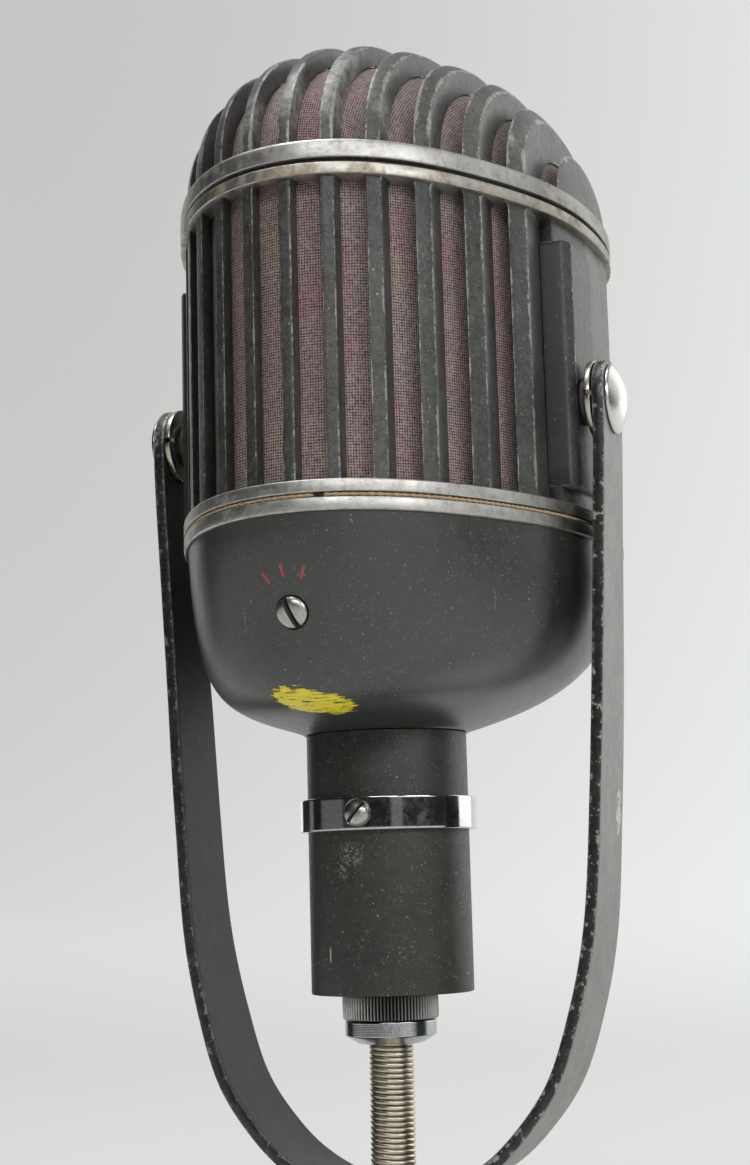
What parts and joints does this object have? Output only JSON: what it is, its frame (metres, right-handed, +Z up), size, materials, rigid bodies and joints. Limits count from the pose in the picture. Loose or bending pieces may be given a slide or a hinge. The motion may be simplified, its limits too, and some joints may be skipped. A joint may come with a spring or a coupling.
{
  "type": "ribbon microphone",
  "caption": "Oval studio microphone with a ribbed dome and slotted body over cloth, a bowl tapering to a clamped plug housing, tilting in a U-shaped stand fork.",
  "frame": {"origin": "centre of the stand socket's mouth, at the lowest face of the stand adapter under the fork", "axes": "+Z up the stand axis towards the dome; -Y to the front, where the selector and clamp screws are; +X to the right along the tilt axis"},
  "size_m": [0.1308, 0.1451, 0.3096],
  "materials": {
    "dark_enamel": "satin",
    "fork_enamel": "satin",
    "bright_steel": "satin",
    "chrome": "polished",
    "nickel": "satin",
    "screen_cloth": "matte",
    "felt": "matte",
    "seam_cord": "matte",
    "moulded_insulator": "satin",
    "brass": "satin",
    "chassis_aluminium": "satin",
    "magnet_iron": "matte",
    "foil": "satin",
    "fibre_board": "matte"
  },
  "bodies": {
    "stand_fork": {"fork": "fork_enamel", "stand_adapter": "bright_steel", "adapter_screw": "bright_steel"},
    "head": {"dome_cage": "dark_enamel", "dome_screen": "screen_cloth", "dome_gasket": "felt", "body_cage": "dark_enamel", "body_screen": "screen_cloth", "seam_cord": "seam_cord", "bowl": "dark_enamel", "plug_housing": "dark_enamel", "clamp_band": "chrome", "gland_collar": "chrome", "spring_guard": "nickel", "contact_block": "moulded_insulator", "contact_pin_1": "brass", "contact_pin_2": "brass", "contact_pin_3": "brass", "contact_pin_4": "brass", "plug_block": "moulded_insulator", "pivot_bolt_right": "chrome", "pivot_washer_right": "bright_steel", "pivot_boss_right": "dark_enamel", "pivot_bolt_left": "chrome", "pivot_washer_left": "bright_steel", "pivot_boss_left": "dark_enamel", "selector_stator": "fibre_board", "chassis_plate": "chassis_aluminium", "chassis_post_right": "bright_steel", "pole_piece_right": "magnet_iron", "chassis_post_left": "bright_steel", "pole_piece_left": "magnet_iron", "ribbon_magnet": "magnet_iron", "ribbon_bridge": "chassis_aluminium", "ribbon_shelf": "chassis_aluminium", "ribbon": "foil", "ribbon_clamp_top": "moulded_insulator", "ribbon_clamp_bottom": "moulded_insulator", "coil_element_case": "magnet_iron", "coil_element_magnet": "magnet_iron", "diaphragm": "foil", "coil_element_grid": "chassis_aluminium", "transformer": "magnet_iron", "terminal_board": "fibre_board"},
    "selector": {"selector_screw": "bright_steel", "selector_rotor": "fibre_board"},
    "clamping_screw": {"clamp_screw": "chrome"},
    "coupling_ring": {"knurled_ring": "bright_steel"}
  },
  "joints": [
    {"name": "head_tilt", "type": "hinge", "parent": "stand_fork", "child": "head", "pos_m": [0, 0, 0.2123], "axis": [1, 0, 0], "range_deg": [-90, 90]},
    {"name": "selector_turn", "type": "hinge", "parent": "head", "child": "selector", "pos_m": [-0.0027, -0.0566, 0.1562], "axis": [0, 0.9483, 0.3173], "range_deg": [0, 60]},
    {"name": "clamp_screw_turn", "type": "hinge", "parent": "head", "child": "clamping_screw", "pos_m": [0, -0.025, 0.111], "axis": [0, -1, 0], "range_deg": [0, 180]},
    {"name": "coupling_ring_turn", "type": "hinge", "parent": "head", "child": "coupling_ring", "pos_m": [-0.0008, -0.0029, 0.064], "axis": [0, 0, 1], "continuous": true}
  ]
}
